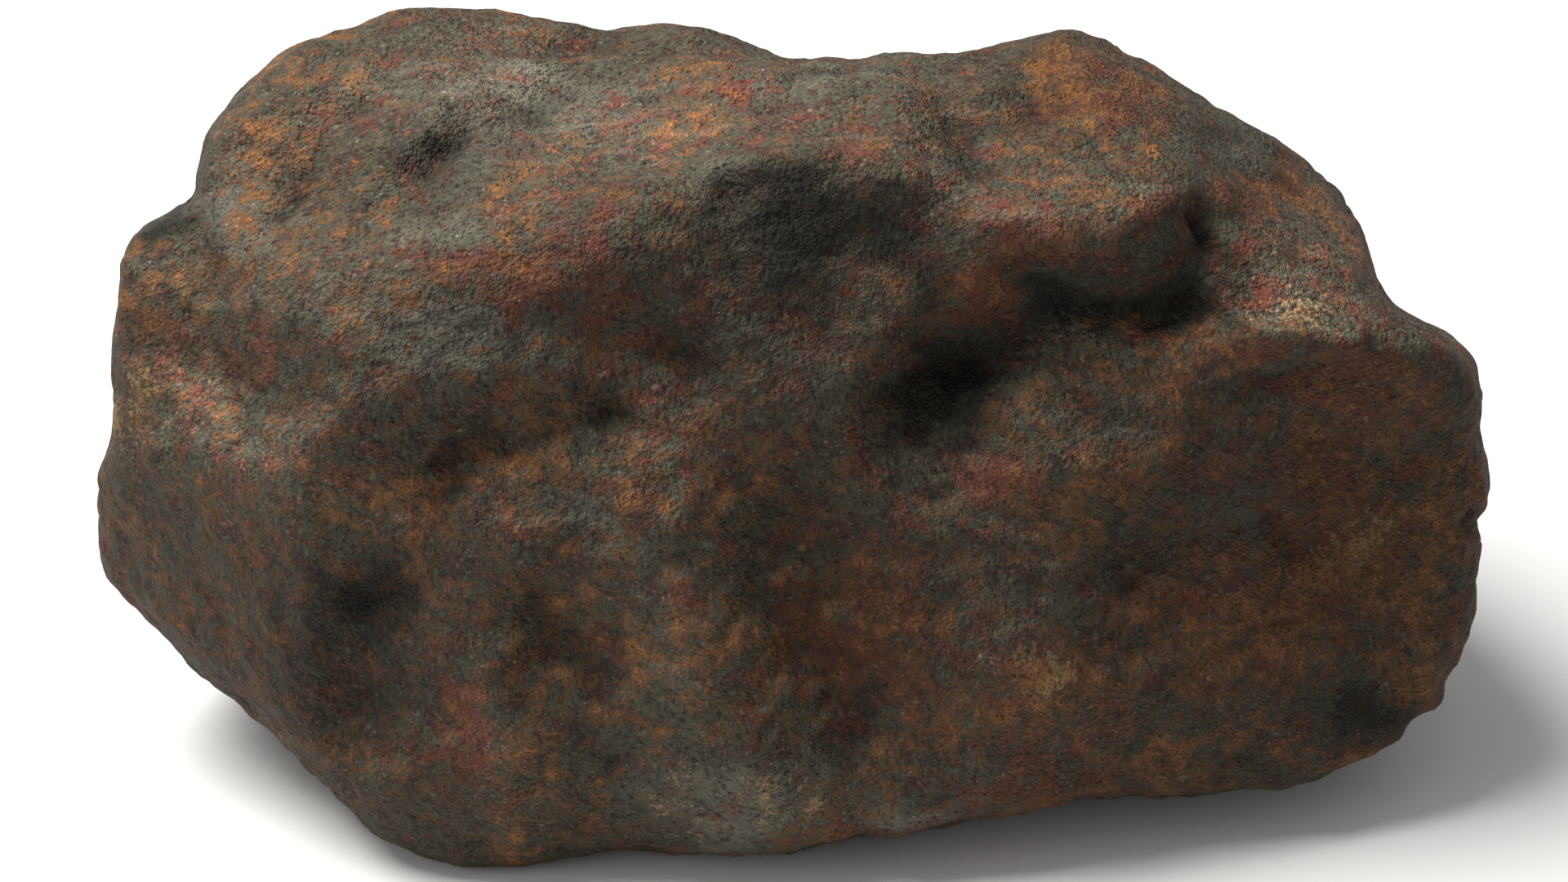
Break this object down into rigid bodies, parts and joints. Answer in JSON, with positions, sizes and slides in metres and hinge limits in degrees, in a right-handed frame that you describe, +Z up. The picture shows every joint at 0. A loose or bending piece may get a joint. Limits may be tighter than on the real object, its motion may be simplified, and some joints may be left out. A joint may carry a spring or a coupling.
{
  "type": "iron meteorite",
  "caption": "Rough lump of an iron meteorite with a dark rusted crust, scooped thumbprint hollows, a brow across its front and a flat on its underside to rest on.",
  "frame": {"origin": "on the flat of the underside, under the middle of the bounding box", "axes": "+Z up, +X along the long way to the right as seen from the front, the front faces -Y"},
  "size_m": [0.1308, 0.0694, 0.07],
  "materials": {
    "crust": "matte weathered crust, dark grey-brown, mottled with rust orange, maroon and ochre"
  },
  "bodies": {
    "root": {"meteorite": "crust"}
  },
  "joints": []
}
